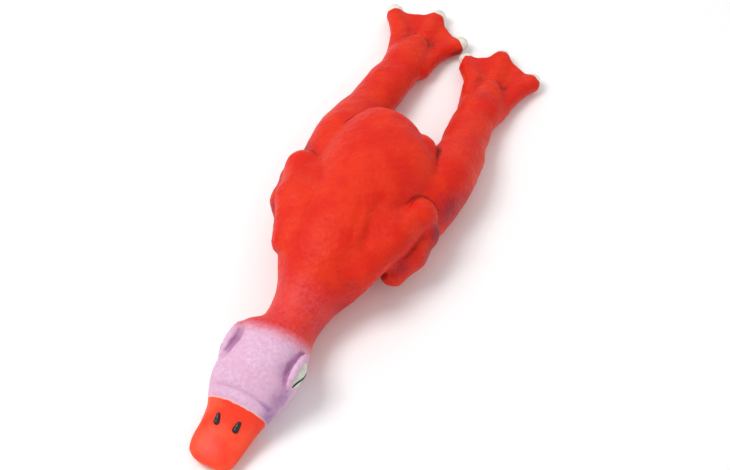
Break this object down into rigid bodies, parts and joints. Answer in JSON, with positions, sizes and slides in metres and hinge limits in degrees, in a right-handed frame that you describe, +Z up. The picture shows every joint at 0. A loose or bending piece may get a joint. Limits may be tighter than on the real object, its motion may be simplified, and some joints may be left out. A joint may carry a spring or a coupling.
{
  "type": "squeaky rubber toy",
  "caption": "Hollow moulded latex toy of a plucked waterfowl lying on its belly, with flexible neck, wings and webbed feet and a push-in squeaker.",
  "frame": {"origin": "centre of the squeaker's flat collar under the belly, which the toy rests on", "axes": "+Z up, -Y towards the bill, +Y towards the feet, +X towards the bird's own left"},
  "size_m": [0.0982, 0.3054, 0.049],
  "materials": {
    "red_rubber": "semi-matte moulded latex, finely pimpled like plucked skin",
    "lilac_rubber": "latex sprayed lilac with purple mottling",
    "bill_paint": "glossier orange-red paint on latex",
    "nostril_paint": "black paint in the nostril hollow",
    "eye_paint": "off-white paint",
    "pupil_paint": "dark green-black paint line",
    "claw_paint": "cream-white paint, worn",
    "squeaker_plastic": "moulded polyethylene",
    "reed_brass": "thin rolled strip"
  },
  "bodies": {
    "torso": {"torso_skin": "red_rubber", "squeaker_collar": "red_rubber", "squeaker_cup": "squeaker_plastic", "squeaker_cap": "squeaker_plastic", "squeaker_shallot": "squeaker_plastic", "neck_base_skin": "red_rubber", "left_wing_seam": "red_rubber", "right_wing_seam": "red_rubber", "left_hip_skin": "red_rubber", "right_hip_skin": "red_rubber"},
    "reed": {"squeaker_reed": "reed_brass"},
    "neck": {"neck_skin": "red_rubber", "neck_top_skin": "lilac_rubber"},
    "head": {"head_skin": "lilac_rubber", "bill": "bill_paint", "left_nostril": "nostril_paint", "right_nostril": "nostril_paint", "left_eye": "eye_paint", "right_eye": "eye_paint", "left_pupil": "pupil_paint", "right_pupil": "pupil_paint"},
    "left_wing": {"left_wing": "red_rubber"},
    "left_thigh": {"left_thigh_skin": "red_rubber", "left_knee_skin": "red_rubber"},
    "left_shank": {"left_shank_skin": "red_rubber", "left_ankle_skin": "red_rubber"},
    "left_foot": {"left_foot": "red_rubber", "left_claws": "claw_paint"},
    "right_wing": {"right_wing": "red_rubber"},
    "right_thigh": {"right_thigh_skin": "red_rubber", "right_knee_skin": "red_rubber"},
    "right_shank": {"right_shank_skin": "red_rubber", "right_ankle_skin": "red_rubber"},
    "right_foot": {"right_foot": "red_rubber", "right_claws": "claw_paint"}
  },
  "joints": [
    {"name": "neck_bend", "type": "hinge", "parent": "torso", "child": "neck", "pos_m": [0, -0.055, 0.0175], "axis": [-1, 0, 0], "range_deg": [-18, 28], "stiffness_Nm_per_rad": 0.15, "deforming": ["neck_base_skin"]},
    {"name": "head_swing", "type": "hinge", "parent": "neck", "child": "head", "pos_m": [0, -0.075, 0.017], "axis": [0, 0, 1], "range_deg": [-28, 28], "stiffness_Nm_per_rad": 0.12, "deforming": ["neck_top_skin"]},
    {"name": "squeaker_reed_flex", "type": "hinge", "parent": "torso", "child": "reed", "pos_m": [0, 0.00066, 0.0062], "axis": [-1, 0, 0], "range_deg": [-1.5, 4], "stiffness_Nm_per_rad": 0.0004},
    {"name": "left_wing_lift", "type": "hinge", "parent": "torso", "child": "left_wing", "pos_m": [0.0255, -0.01, 0.0395], "axis": [0, -1, 0], "range_deg": [0, 24], "stiffness_Nm_per_rad": 0.05, "deforming": ["left_wing_seam"]},
    {"name": "left_hip_bend", "type": "hinge", "parent": "torso", "child": "left_thigh", "pos_m": [0.0296, 0.054, 0.0165], "axis": [1, 0, 0], "range_deg": [-30, 8], "stiffness_Nm_per_rad": 0.12, "deforming": ["left_hip_skin"]},
    {"name": "left_knee_spread", "type": "hinge", "parent": "left_thigh", "child": "left_shank", "pos_m": [0.0286, 0.0745, 0.013], "axis": [0, 0, -1], "range_deg": [-2, 24], "stiffness_Nm_per_rad": 0.07, "deforming": ["left_knee_skin"]},
    {"name": "left_ankle_bend", "type": "hinge", "parent": "left_shank", "child": "left_foot", "pos_m": [0.0267, 0.0955, 0.0107], "axis": [1, 0, 0], "range_deg": [-28, 28], "stiffness_Nm_per_rad": 0.05, "deforming": ["left_ankle_skin"]},
    {"name": "right_wing_lift", "type": "hinge", "parent": "torso", "child": "right_wing", "pos_m": [-0.0255, -0.01, 0.0395], "axis": [0, 1, 0], "range_deg": [0, 24], "stiffness_Nm_per_rad": 0.05, "deforming": ["right_wing_seam"]},
    {"name": "right_hip_bend", "type": "hinge", "parent": "torso", "child": "right_thigh", "pos_m": [-0.0296, 0.054, 0.0165], "axis": [1, 0, 0], "range_deg": [-30, 8], "stiffness_Nm_per_rad": 0.12, "deforming": ["right_hip_skin"]},
    {"name": "right_knee_spread", "type": "hinge", "parent": "right_thigh", "child": "right_shank", "pos_m": [-0.0286, 0.0745, 0.013], "axis": [0, 0, 1], "range_deg": [-2, 24], "stiffness_Nm_per_rad": 0.07, "deforming": ["right_knee_skin"]},
    {"name": "right_ankle_bend", "type": "hinge", "parent": "right_shank", "child": "right_foot", "pos_m": [-0.0267, 0.1065, 0.0107], "axis": [1, 0, 0], "range_deg": [-28, 28], "stiffness_Nm_per_rad": 0.05, "deforming": ["right_ankle_skin"]}
  ]
}
